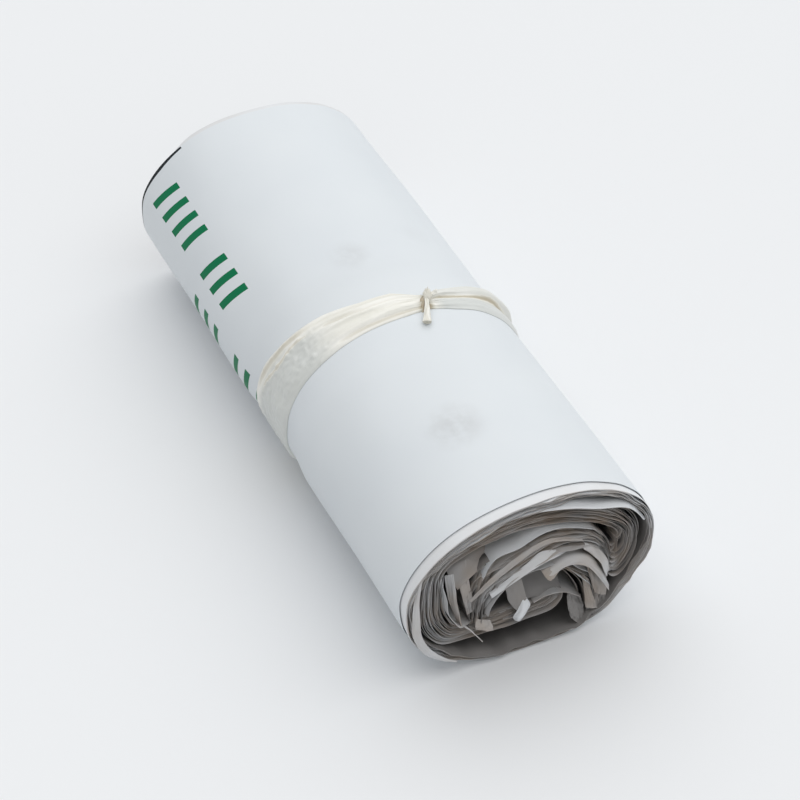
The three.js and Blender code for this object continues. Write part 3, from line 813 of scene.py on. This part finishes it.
# Each film runs along the course, stations along the roll by steps of the course. A point
# lies on the line from the course's outer side to its inner side, as deep as the pile's
# depth and the crumple say.
def pileShells(spec):
    course = np.array(spec["course"])
    course[:, [0, 2]] *= roll["width"] / 2
    course[:, [1, 3]] *= roll["height"]
    last = len(course) - 1
    steps = last * spec["stepsPerRow"] + 1
    rows = np.linspace(0, last, steps)
    u = endStations
    seed = spec["seed"]
    rng = np.random.default_rng(seed)
    middle = curveAt((course[:, :2] + course[:, 2:]) / 2, rows)
    length = np.concatenate([[0], np.cumsum(np.hypot(*np.diff(middle, axis=0).T))])
    x0 = farEnd + (nearEnd - farEnd) * u[:, None] + 0 * rows[None, :]
    thickness = np.hypot(*(curveAt(course[:, :2], rows) - curveAt(course[:, 2:], rows)).T)
    clings = clinging(spec["count"], spec["clinging"], seed + 10)
    depths = pileDepths(spec["count"], spec["film"], thickness[None, :], seed + 20, spec["gapSpread"], clings,
                        length[None, :] / 55 + 0 * x0, x0 / 70)
    parts = []
    nearOffset = farOffset = bagTone = bagUnshaded = 0.0
    for k in range(spec["count"]):
        share = (k + 0.5) / spec["count"]
        start, end = rng.uniform(0, 1, 2) * spec["raggedEnds"]
        t = start + rows / last * (last - start - end)
        outerSide, innerSide = curveAt(course[:, :2], t), curveAt(course[:, 2:], t)
        across = innerSide - outerSide
        thick = np.linalg.norm(across, axis=1, keepdims=True)
        unit = across / thick
        wave = edgeWaves["wave"] * softNoise(seed + 100 + k, length / edgeWaves["waveLength"])
        fold = softNoise(seed + 200 + k, length / edgeWaves["foldLength"], folded=True)
        wave = wave + edgeWaves["fold"] * fold
        if k == 0 or not clings[k]:
            nearOffset, farOffset = spec["stagger"] * rng.uniform(-1, 1, 2)
            bagTone, bagUnshaded = rng.uniform(*spec["tones"]), rng.uniform(*spec["unshadedReach"])
        else:
            nearOffset += rng.uniform(-0.3, 0.3)
        near = nearEnd - 0.4 + nearOffset + wave
        far = farEnd + farOffset - wave
        tone = bagTone + 0 * t
        unshaded = bagUnshaded + 0 * t
        for move in spec["shifts"]:
            low, high = move["rows"]
            run = stretch(low, low + fades["shift"], high - fades["shift"], high, t)
            run = run * hump(share, move["depth"], move["fade"])
            near = near + move["out"] * run
            tone = tone * (1 - run) + (move["tone"] + 0.3 * rng.uniform(-1, 1)) * run
            unshaded = unshaded * (1 - run) + move["unshaded"] * run
        for sheet in spec["sheets"]:
            if sheet["film"] == k:
                low, high = sheet["rows"]
                run = stretch(low, low + fades["sheet"], high - fades["sheet"], high, t)
                near = near + sheet["out"] * run
                tone = tone * (1 - run) + sheet["tone"] * run
                unshaded = unshaded * (1 - run) + sheet["unshaded"] * run
        x = far[None, :] + (near - far)[None, :] * u[:, None]
        # Past the unshaded reach from either end, a face is painted dark as the shade between the bags
        behind = np.minimum(near[None, :] - x, x - far[None, :])
        deep = smoothStep(unshaded[None, :], unshaded[None, :] + 2.5, behind)
        crumple = softNoise(seed + 300, length[None, :] / 34 + 0 * x, x / 26, share * 0.8 + 0 * x,
                            folded=True)
        depth = depths[k] + spec["crumple"] * endness(x, edgeWaves["crumpleReach"]) * crumple
        face = lambda extra: np.stack([
            x,
            outerSide[None, :, 0] + unit[None, :, 0] * (depth + extra),
            outerSide[None, :, 1] + unit[None, :, 1] * (depth + extra),
        ], -1)
        film = np.stack([x, length[None, :] + 0 * x], -1)
        tones = tone[None, :] * (1 - deep) + spec["deepShadeTone"] * deep
        parts.append(shell(face(0.0), face(spec["film"]), film, tones))
    return parts


leaves = pileShells(stack)
third = stack["count"] // 3
for place, name in enumerate(["outerLeaves", "middleLeaves", "innerLeaves"]):
    putMesh(name, leaves[place * third:(place + 1) * third], plainMaterial, "mailer_roll")
putMesh("tuckedLeaves", pileShells(tucked), plainMaterial, "mailer_roll")

# Loose corners of film at the near end. Each net's rows run from where the corner leaves the roll's inside to
# its free edge, and a net bigger than its neighbour overlaps it. The inner tone is that of the other face,
# where it isn't the same. The greyer and darker tones are painted shade, set for corners that lie deep in the
# hollow or under the films above.
corners = {
    "slackRoof": {"tone": 1.2, "wrinkle": 0.2, "net": [
        [(112, -30, 50), (112, -10, 55), (112, 14, 52)],
        [(121, -30, 47), (121, -8, 54), (121, 14, 52)]]},
    "slackSheet": {"tone": 0.9, "wrinkle": 0.2, "net": [
        [(116, -32.0, 48.5), (116, -18, 51), (116, -8, 50)],
        [(122, -32.0, 46.0), (122, -20.5, 49), (122, -12.5, 48.5)],
        [(126.5, -29.5, 39.0), (126.5, -22.5, 44.5), (126.5, -15.5, 48.5)]]},
    "whiteBand": {"tone": 0.0, "innerTone": 0.6, "wrinkle": 0.08, "net": [
        [(122, -2.0, 67.4), (122, 13.0, 66.0), (122, 26, 60.9), (122, 39.4, 55.3), (122, 48, 42.9)],
        [(127, -2.0, 68.4), (127, 13.0, 67.1), (127, 26, 62.0), (127, 39.4, 56.0), (127, 48, 43.2)],
        [(128.4, -2.4, 68.3), (131.0, 11.6, 67.0), (131.8, 24.8, 62.2), (131.4, 37.8, 56.7),
         (128.4, 46.6, 44.0)]]},
    "rightFan": {"tone": 0.45, "innerTone": 0.9, "wrinkle": 0.3, "net": [
        [(124, 19.0, 43.0), (124, 26.0, 38.5), (124, 31.5, 31.0), (124, 33.4, 22.0)],
        [(127.5, 22.0, 42.0), (127.5, 27.6, 36.4), (127.5, 32.2, 29.8), (127.5, 33.8, 22.4)],
        [(129.5, 20.6, 41.2), (129.8, 25.2, 35.6), (129.6, 28.9, 29.0), (129.2, 31.6, 21.5)]]},
    "leftBand": {"tone": 0.8, "innerTone": 1.0, "wrinkle": 0.25, "net": [
        [(122, -28.5, 46.8), (122, -26.0, 48.0), (122, -23.0, 48.6)],
        [(126, -28.4, 39.6), (126, -26.4, 40.4), (126, -24.6, 41.4)],
        [(126.5, -27.0, 31.6), (126.5, -25.2, 32.4), (126.5, -23.3, 33.4)],
        [(126.5, -25.4, 24.0), (126.8, -24.2, 24.8), (126.5, -22.2, 25.8)]]},
    "brightStrip": {"tone": 0.2, "innerTone": 0.6, "wrinkle": 0.15, "net": [
        [(129.0, -17.7, 34.5), (129.0, -8.6, 39.4), (129.0, -1.9, 43.7), (129.0, 3.5, 46.8),
         (129.0, 10.8, 44.7)],
        [(130.6, -17.3, 33.0), (130.6, -7.9, 37.4), (130.6, -1.1, 40.3), (130.6, 5.2, 42.4),
         (130.6, 13.1, 44.0)]]},
    "coolStrip": {"tone": 0.75, "innerTone": 0.9, "wrinkle": 0.15, "net": [
        [(128.4, -25.4, 33.4), (129.0, -13.9, 44.3), (129.0, 4.1, 52.3), (128.4, 20.6, 45.6)],
        [(129.2, -25.0, 33.0), (130.6, -13.0, 43.4), (130.4, 4.6, 51.2), (129.0, 20.6, 45.0)]]},
    "leftWall": {"tone": 0.65, "innerTone": 0.9, "wrinkle": 0.15, "net": [
        [(126, -34.6, 48.4), (127.5, -33.4, 49.8), (128.6, -32.4, 50.8)],
        [(126, -33.5, 40.0), (127.8, -32.3, 42.0), (129, -31.8, 44.0)],
        [(126, -32.2, 32.9), (128.0, -31.5, 34.4), (129, -31.0, 36.5)],
        [(126, -30.1, 25.0), (128.0, -29.8, 26.6), (129, -29.8, 28.0)],
        [(126.5, -28.7, 18.3), (128.2, -28.6, 19.8), (129, -28.7, 21.1)]]},
    "coreFlap": {"tone": 1.25, "wrinkle": 0.15, "net": [
        [(118, -14.5, 43), (118.5, -8, 43), (119, -4, 42)],
        [(126, -10.3, 32.5), (126.3, -6.5, 32.8), (126.5, -3, 32.5)],
        [(127.5, -9.0, 25.5), (127.8, -5.5, 24.5), (127.6, -1.6, 24.6)],
        [(128, -8.0, 23), (128.4, -5.2, 19.2), (128, -1.4, 23)]]},
    "whiteCurl": {"tone": 0.0, "innerTone": 0.25, "wrinkle": 0.1, "net": [
        [(127, -2.6, 23.8), (127, -2.2, 23.6), (127, -1.2, 23.0)],
        [(128.6, -5.2, 19.6), (130.0, -3.6, 19.6), (128.2, 0.2, 19.6)],
        [(129.0, -7.2, 17.0), (131.0, -5.2, 17.0), (128.8, -1.2, 17.8)],
        [(128.8, -6.9, 15.2), (129.8, -5.4, 14.6), (129.0, -3.6, 14.6)]]},
    "brownWall": {"tone": 1.45, "wrinkle": 0.25, "net": [
        [(104, 1.5, 47), (104, 9, 46), (104, 19, 42)],
        [(112, -1.2, 38), (112, 6, 36), (112, 17, 33)],
        [(122, -1.8, 27), (122, 7, 25.5), (122, 14.5, 22.5)],
        [(126.5, -1.0, 21.6), (126.5, 7, 20.0), (126.5, 14.6, 18.6)]]},
    "crest": {"tone": 0.45, "innerTone": 0.9, "wrinkle": 0.12, "net": [
        [(112, 0, 22), (112, 8, 22.5), (112, 15, 20.5), (112, 22, 17)],
        [(122, 1.5, 20), (122, 8, 20.8), (122, 15, 19.2), (122, 22.4, 13.8)],
        [(128, 1.8, 19.2), (128, 7.2, 20.8), (128, 14.6, 19.2), (128, 21.8, 13.4)]]},
    "crestFlap": {"tone": 1.35, "wrinkle": 0.3, "net": [
        [(126, 16.8, 16.0), (126, 19.0, 15.2), (126, 22.5, 13.0)],
        [(128.5, 16.4, 10.5), (129, 19.5, 9.0), (128.6, 22.8, 7.5)],
        [(130.5, 16.8, 6.5), (131, 19.4, 3.2), (130.6, 22.6, 1.2)]]},
    "tuckRoof": {"tone": 0.55, "innerTone": 1.4, "wrinkle": 0.4, "net": [
        [(110, 3.5, 44), (110, 13, 46), (110, 24, 41), (110, 31.5, 30)],
        [(120, 3.0, 38.5), (120, 13, 41.5), (120, 24, 37), (120, 31.5, 25)],
        [(129, 4.0, 35.8), (129.5, 14.6, 39.8), (129, 24.5, 34.2), (129, 32.0, 20)],
        [(131, 6.0, 33.4), (131.5, 14.0, 36.8), (131.2, 23.5, 31.0), (130.5, 32.4, 14.4)]]},
    "pointFlap": {"tone": 0.9, "wrinkle": 0.15, "net": [
        [(129, 3.8, 36.6), (129.6, 6.5, 37.8), (129.4, 10.8, 36.6)],
        [(130.4, 4.4, 34.8), (131.0, 6.8, 35.0), (130.6, 10.2, 34.8)],
        [(131.2, 5.4, 33.2), (131.6, 6.4, 32.6), (131.4, 7.6, 32.8)]]},
    "bigFlap": {"tone": 1.0, "innerTone": 1.2, "wrinkle": 0.35, "net": [
        [(124, 24.5, 29.5), (124, 28, 28.8), (124, 31.5, 25.5)],
        [(127.5, 25.4, 22.5), (127.8, 29, 20.5), (127.4, 32.8, 17.5)],
        [(128.5, 27.2, 14.0), (128.8, 29.8, 12.0), (128.4, 32.4, 10.4)]]},
    "downFlap": {"tone": 1.0, "innerTone": 1.1, "wrinkle": 0.25, "net": [
        [(127, 22.2, 24.5), (127, 23.2, 23.6), (127, 25.8, 20.0)],
        [(129.0, 22.6, 16.5), (129.8, 24.4, 14.8), (129.0, 26.8, 12.2)],
        [(130.4, 22.8, 9.6), (131.0, 25.6, 8.4), (130.4, 28.4, 6.8)]]},
    "fringeLeft": {"tone": 1.5, "wrinkle": 0.3, "net": [
        [(127.5, 24.8, 13), (127.8, 26.2, 13.5), (127.5, 27.4, 14)],
        [(129, 24.0, 7), (129.4, 25.4, 6.5), (129.0, 26.6, 6.8)],
        [(130.2, 23.4, 3.2), (130.6, 24.8, 2.8), (130.2, 26.0, 3.4)]]},
    "fringeMiddle": {"tone": 1.1, "wrinkle": 0.3, "net": [
        [(127, 27.2, 14.5), (127.4, 28.6, 15), (127, 30, 15)],
        [(128.6, 26.6, 8.4), (129, 28.2, 8), (128.6, 29.6, 8.4)],
        [(129.8, 26.2, 4.0), (130.2, 27.8, 3.8), (129.6, 29.2, 4.8)]]},
    "fringeRight": {"tone": 1.35, "wrinkle": 0.3, "net": [
        [(126.5, 29.8, 16.5), (126.9, 31.4, 16.8), (126.5, 33, 16)],
        [(127.6, 29.6, 10.5), (128, 31.2, 10), (127.6, 33, 10.5)],
        [(128.6, 29.2, 6.0), (129, 31.2, 6.0), (128.4, 33.0, 7.6)]]},
    "lowerCurl": {"tone": 0.7, "wrinkle": 0.2, "net": [
        [(128, -22.4, 22.0), (128.3, -20, 20.6), (128, -16.4, 18.6)],
        [(128.8, -23.0, 19.0), (129.6, -20.2, 17.6), (128.8, -15.8, 16.0)],
        [(129.0, -22.8, 17.4), (130.0, -18.6, 15.4), (129.2, -15.4, 13.6)]]},
    "sliver": {"tone": 0.35, "innerTone": 0.6, "wrinkle": 0.1, "net": [
        [(127.0, -29.2, 21.6), (127.6, -28.4, 21.2), (127.4, -27.6, 21.0)],
        [(129.4, -25.4, 18.2), (129.6, -25.0, 17.8), (129.6, -24.6, 17.4)],
        [(130.6, -20.9, 11.8), (130.8, -20.8, 11.6), (130.8, -20.7, 11.4)]]},
    "leftTwist": {"tone": 0.35, "innerTone": 0.5, "wrinkle": 0.08, "net": [
        [(128.4, -45.4, 53.4), (128.7, -45.1, 53.6), (128.8, -44.8, 53.8)],
        [(128.8, -48.2, 42.6), (129.4, -47.4, 43.0), (129.4, -46.3, 43.8)],
        [(129.2, -49.0, 34.4), (130.0, -47.8, 34.2), (130.0, -46.2, 33.7)],
        [(129.4, -48.8, 25.3), (130.4, -47.4, 25.8), (130.4, -45.7, 25.7)],
        [(130.0, -44.6, 15.2), (131.2, -43.4, 16.4), (130.8, -42.4, 17.6)],
        [(130.6, -37.8, 9.0), (131.6, -37.2, 9.7), (131.2, -36.6, 10.4)],
        [(131.2, -32.6, 6.8), (131.9, -32.2, 7.0), (131.8, -31.8, 7.2)]]},
}


def layCorners():
    parts = []
    for seed, corner in enumerate(corners.values()):
        parts.append(sheetShell(corner["net"], corner["tone"], corner.get("innerTone"),
                                wrinkle=corner["wrinkle"], seed=700 + seed))
    putMesh("looseCorners", parts, plainMaterial, "mailer_roll", sharpAngle=40)


layCorners()

# The tie: a band of gathered film. Its two edges along the roll are given at places round
# the outline, measured from the +Y side through the top to the -Y side and underneath.
# From the knot to the +Y side it lies in two strands with a groove between them.
tie = {
    "around": [0, 22.4, 46.9, 57.1, 68.3, 81.6, 96.9, 109.1, 120.4, 129.5, 137.7, 143.8, 152, 175, 215, 250,
               285.6],
    "from": [0.0, -1.0, 4.4, 6.8, 1.4, 0.9, -2.6, -3.6, -4.4, -6.2, -7.2, -9.0, -9.4, -4.0, 0.0, 0.0, 0.0],
    "to": [19.8, 19.5, 17.5, 15.4, 16.4, 17.0, 17.6, 18.7, 19.8, 20.6, 21.2, 20.6, 19.8, 19.0, 19.0, 19.5,
           19.8],
    "film": 0.12,
    "lift": 0.04,
    "knotAt": 57.1,
    "gatherRise": 1.0,
    "gatherReach": 12,
    # The band turns brown at the knot, on its half towards the roll's near end
    "knotBrown": (58.7, 2.2),  # a middle and a half width, as the pairs below are
    # Two strands on the +Y side, which end before the knot and start again underneath
    "strandsEnd": (56, 50),  # where they have gone and where they are whole
    "strandsStart": (225, 260),
    "upperStrand": (0.2, 0.17),  # in shares of the band's width
    "lowerStrand": (0.74, 0.22),
    "groove": 0.43,
    "strandRise": 1.3,
    "lowerRise": 0.35,
    "shoulderRise": 1.1,
    "bridgeRise": 1.4,  # how far the strands stand off the roll where they bridge its shoulder
    "bridge": (12, 12),
    # Converging folds on top, and slack film with two side folds on the -Y side
    "onTop": (54, 60, 92, 112),
    "slackSide": (92, 112, 215, 250),
    "sideFolds": (100, 112, 130, 142),
    "firstFold": (0.1, 0.06),
    "secondFold": (0.27, 0.04),
    "bulgeRise": 0.5,
    "bulge": (154, 20),
    "steps": 380,
    "stations": 60,
}


# Shares of the band's width by steps round the roll. A point lies on the outline between
# the two edges, lifted by strands, folds and gathers, which are humps and noise.
def wrapTie():
    spec = tie
    total = arcAt(2 * math.pi)
    arc = np.linspace(0, total, spec["steps"], endpoint=False)
    around = np.array(spec["around"]) * total / spec["around"][-1]
    low, high = np.interp(arc, around, spec["from"]), np.interp(arc, around, spec["to"])
    share = np.linspace(0, 1, spec["stations"])[:, None]
    x = low[None, :] + (high - low)[None, :] * share
    arcGrid = arc[None, :] + 0 * x
    turn = 2 * math.pi * arcGrid / total
    angle = angleAt(arcGrid)
    twoStrands = smoothStep(*spec["strandsEnd"], arcGrid) + smoothStep(*spec["strandsStart"], arcGrid)
    onTop = stretch(*spec["onTop"], arcGrid)
    slackSide = stretch(*spec["slackSide"], arcGrid)
    upper = hump(share, *spec["upperStrand"], power=4)
    lower = hump(share, *spec["lowerStrand"], power=4)
    strands = spec["strandRise"] * upper * (0.85 + 0.15 * np.sin(turn * 13)) + spec["lowerRise"] * lower
    strands = strands + spec["bridgeRise"] * hump(arcGrid, *spec["bridge"]) * (upper + 0.4 * lower)
    converging = 0.55 + 0.4 * softNoise(35, share * 2.6 + 0 * x, arcGrid / 120)
    wrinkles = 0.3 * np.abs(softNoise(36, share * 1.3 + arcGrid / 50, arcGrid / 30 - share * 1.2))
    wrinkles = wrinkles + 0.24 * np.abs(softNoise(38, share * 3 + arcGrid / 14, arcGrid / 9 - share * 2.4))
    bending = share + 0.04 * np.sin(turn * 11)
    sideFolds = 0.7 * hump(share, *spec["firstFold"]) + 0.5 * hump(bending, *spec["secondFold"])
    sideFolds = sideFolds * stretch(*spec["sideFolds"], arcGrid)
    fine = 0.07 * softNoise(32, share * 7 + 0 * x, np.cos(turn) * 9, np.sin(turn) * 9)
    gather = np.exp(-np.abs(arcGrid - spec["knotAt"]) / spec["gatherReach"])
    gather = gather * (0.7 + 0.3 * softNoise(37, share * 6 + 0 * x, arcGrid / 60))
    bulge = spec["bulgeRise"] * hump(arcGrid, *spec["bulge"])
    rise = twoStrands * strands + onTop * np.maximum(converging, 0.1)
    rise = rise + slackSide * (0.25 + wrinkles + sideFolds + bulge)
    rise = rise + 0.1 + np.abs(fine) + spec["gatherRise"] * gather
    edges = 1 - np.abs(2 * share - 1) ** 8  # the rise fades at the band's two edges
    lift = spec["lift"] + np.maximum(rise, 0) * edges
    lift = lift + spec["shoulderRise"] * upper * twoStrands * np.maximum(0, np.cos(angle)) ** 4
    under = waist(x, angle) - swellAt(angle, x)
    y, z = outline(angle, under - lift)
    yOut, zOut = outline(angle, under - lift - spec["film"])
    film = np.stack([x, arcGrid], -1)
    # The crease colour is painted shade: along the groove between the strands, in the low places between the
    # converging folds on top, and along the side folds
    groove = spec["groove"] + 0.03 * np.sin(turn * 9)
    creaseShading = 1.15 * hump(share, groove, 0.05) * twoStrands
    creaseShading = creaseShading + 0.7 * np.clip(0.45 - converging, 0, 1) * onTop + 0.9 * sideFolds * slackSide
    single = -twoStrands * (0.45 + 0.4 * smoothStep(0.5, 0.6, share))
    single = single - 0.8 * slackSide * smoothStep(0.1, 0.3, share)
    # Brown at the knot, on the band's half towards the roll's near end
    knotBrown = 1.9 * hump(arcGrid, *spec["knotBrown"]) * smoothStep(0.5, 0.85, share)
    tone = np.clip(np.where(creaseShading > 0.25, creaseShading, single + creaseShading) + knotBrown, -1, 2)
    part = shell(np.stack([x, yOut, zOut], -1), np.stack([x, y, z], -1), film, tone, closes=True)
    putMesh("tieBand", [part], tieMaterial, "film_tie", sharpAngle=80)


wrapTie()

# The knot: a roll of gathered film over the band, its free tail with an open end, and two
# short ears. A path is a list of points with a radius each.
knot = {
    "wrap": [(7.2, 15.8, 71.8, 0.9), (7.4, 15.6, 73.3, 1.2), (8.6, 15.2, 74.3, 1.5),
             (10.2, 14.6, 74.5, 1.7), (11.8, 13.9, 73.9, 1.5), (12.6, 13.4, 72.6, 1.1),
             (12.4, 13.4, 71.6, 0.8)],
    "root": [(16.4, 9.4, 71.4, 0.5), (14.9, 10.2, 71.9, 0.8), (13.0, 11.2, 72.5, 1.1),
             (11.4, 12.2, 73.0, 1.2), (10.2, 13.4, 73.4, 0.9)],
    "tail": [(10.4, 14.4, 73.6, 0.7), (12.2, 13.4, 74.1, 0.8), (14.6, 12.2, 74.2, 0.85),
             (17.4, 11.0, 73.9, 1.05), (20.4, 9.6, 73.8, 1.3), (22.8, 8.4, 73.7, 1.6),
             (24.0, 7.8, 73.7, 1.8)],
    "flutes": {"wrap": 4, "root": 3, "tail": 3},
    "sides": {"wrap": (0, 1, 0), "root": (0, 1, 0), "tail": (0, 0, 1)},
    "films": {"wrap": 0.25, "root": 0.25, "tail": 1.7},
    "fluteDepth": 0.15,  # share of the radius
    "flats": {"wrap": 1.0, "root": 1.0, "tail": 0.5},  # height for width at the path's end
    # how brown each tube of the knot is
    "knotBrowns": {"wrap": 0.45, "root": 1.8, "tail": 0.2},
    "ears": [
        [[(9.2, 15.6, 73.8), (9.6, 15.0, 74.4), (10.2, 14.6, 74.2)],
         [(7.8, 16.0, 74.6), (8.8, 15.4, 75.6), (9.8, 15.0, 75.2)],
         [(7.0, 16.0, 75.2), (8.2, 15.6, 76.6), (9.4, 15.4, 75.8)]],
        [[(9.4, 16.2, 73.6), (10.0, 15.8, 74.0), (10.8, 15.4, 73.6)],
         [(8.8, 18.0, 74.2), (9.8, 17.6, 75.0), (11.0, 17.0, 74.2)],
         [(8.8, 19.4, 74.2), (9.8, 19.0, 75.4), (11.2, 18.4, 74.4)]],
    ],
}


# A tube of gathered film along a path: its radius swells and shrinks in flutes round the
# path, which turn slowly along it, and it is pressed flatter towards its end
def gatheredTube(path, film, flutes, depth, flat, side, seed, steps=56, stations=44):
    path = np.asarray(path, float)
    line = curveAt(path, np.linspace(0, len(path) - 1, stations))
    centre, radius = line[:, :3], line[:, 3]
    along = np.gradient(centre, axis=0)
    along = along / np.linalg.norm(along, axis=1, keepdims=True)
    first = np.cross(along, side)
    first = first / np.linalg.norm(first, axis=1, keepdims=True)
    second = np.cross(along, first)
    turn = np.linspace(0, 2 * math.pi, steps, endpoint=False)[None, :]
    place = np.linspace(0, 1, stations)[:, None]
    flute = np.cos(flutes * turn + 1.5 * softNoise(seed, place * 1.2)) * 0.6
    flute = flute + 0.5 * softNoise(seed + 1, np.cos(turn) * 1.6, np.sin(turn) * 1.6, place * 2.5)
    reach = radius[:, None] * (1 + depth * flute)
    pressed = 1 - (1 - flat) * smoothStep(0.2, 0.9, place)
    spoke = first[:, None] * np.cos(turn)[..., None] + second[:, None] * (pressed * np.sin(turn))[..., None]
    outer = centre[:, None] + spoke * reach[..., None]
    inner = centre[:, None] + spoke * np.maximum(reach - film, 0.05)[..., None]
    uv = np.stack([turn * 3 + 0 * place, place * 25 + 0 * turn], -1)
    return outer, inner, uv, flute


def tieKnot():
    parts = []
    for name, flutes in knot["flutes"].items():
        outer, inner, uv, flute = gatheredTube(knot[name], knot["films"][name], flutes, knot["fluteDepth"],
                                               knot["flats"][name], knot["sides"][name], 40 + flutes)
        place = np.linspace(0, 1, outer.shape[0])[:, None]
        tone = knot["knotBrowns"][name] * (0.75 + 0.25 * flute) + 0 * place
        # The tail is painted lighter on its flutes' ridges and darker in their hollows, as painted highlight
        # and shade, and is darker towards its end
        if name == "tail":
            tone = tone + 0.3 * smoothStep(0.75, 1.0, place) - 0.3 * flute
        # Each tube's inside is painted 0.2 darker, as shade, within tones 0 to 1
        parts.append(shell(outer, inner, uv, np.clip(tone, -0.3, 2), closes=True,
                           innerTone=np.clip(tone + 0.2, 0, 1.0)))
    for seed, ear in enumerate(knot["ears"]):
        parts.append(sheetShell(ear, -0.1, 0.0, film=0.14, wrinkle=0.15, seed=60 + seed, rowSteps=20,
                                columnSteps=16))
    putMesh("tieKnot", parts, tieMaterial, "film_tie", sharpAngle=70)


tieKnot()
print("tie made")


# The floor and the light

studio = {
    "floorReach": 3.0,  # metres each way
    "floor": "#ebedef",
    "backdrop": "#eceef0",
    "skyStrength": 0.46,
    "sunStrength": 1.9,
    "sunAngle": 100,
    "sunFrom": (-0.26, 0.31, 1.0),
}


def setStudio():
    scene = bpy.context.scene
    scene.view_settings.view_transform = "Standard"
    mesh = bpy.data.meshes.new("floor")
    side = studio["floorReach"]
    square = [(-side, -side, 0), (side, -side, 0), (side, side, 0), (-side, side, 0)]
    mesh.from_pydata(square, [], [(0, 1, 2, 3)])
    floor = bpy.data.objects.new("floor", mesh)
    scene.collection.objects.link(floor)
    material, _, shader = newMaterial("floorPaper")
    shader.inputs["Base Color"].default_value = linear(studio["floor"])
    shader.inputs["Roughness"].default_value = 0.9
    shader.inputs["Specular IOR Level"].default_value = 0.1
    mesh.materials.append(material)
    world = bpy.data.worlds.new("studioSky")
    scene.world = world
    world.use_nodes = True
    tree = world.node_tree
    tree.nodes.clear()
    path = addNode(tree, "ShaderNodeLightPath")
    sky = addNode(tree, "ShaderNodeBackground", None,
                  {"Color": (1, 1, 1, 1), "Strength": studio["skyStrength"]})
    shown = addNode(tree, "ShaderNodeBackground", None,
                    {"Color": linear(studio["backdrop"]), "Strength": 1.0})
    # The camera and the film's gloss see the backdrop, and the sky lights all else
    seen = path.outputs["Is Camera Ray"]
    for ray in ("Is Glossy Ray", "Is Transmission Ray"):
        either = addNode(tree, "ShaderNodeMath", {"operation": "MAXIMUM"}, {0: seen, 1: path.outputs[ray]})
        seen = either.outputs[0]
    mix = addNode(tree, "ShaderNodeMixShader", None,
                  {0: seen, 1: sky.outputs[0], 2: shown.outputs[0]})
    addNode(tree, "ShaderNodeOutputWorld", None, {"Surface": mix.outputs[0]})
    lamp = bpy.data.lights.new("softKey", "SUN")
    lamp.energy = studio["sunStrength"]
    lamp.angle = math.radians(studio["sunAngle"])
    key = bpy.data.objects.new("softKey", lamp)
    scene.collection.objects.link(key)
    key.rotation_euler = (-Vector(studio["sunFrom"])).to_track_quat("-Z", "Y").to_euler()


setStudio()
print("studio set")
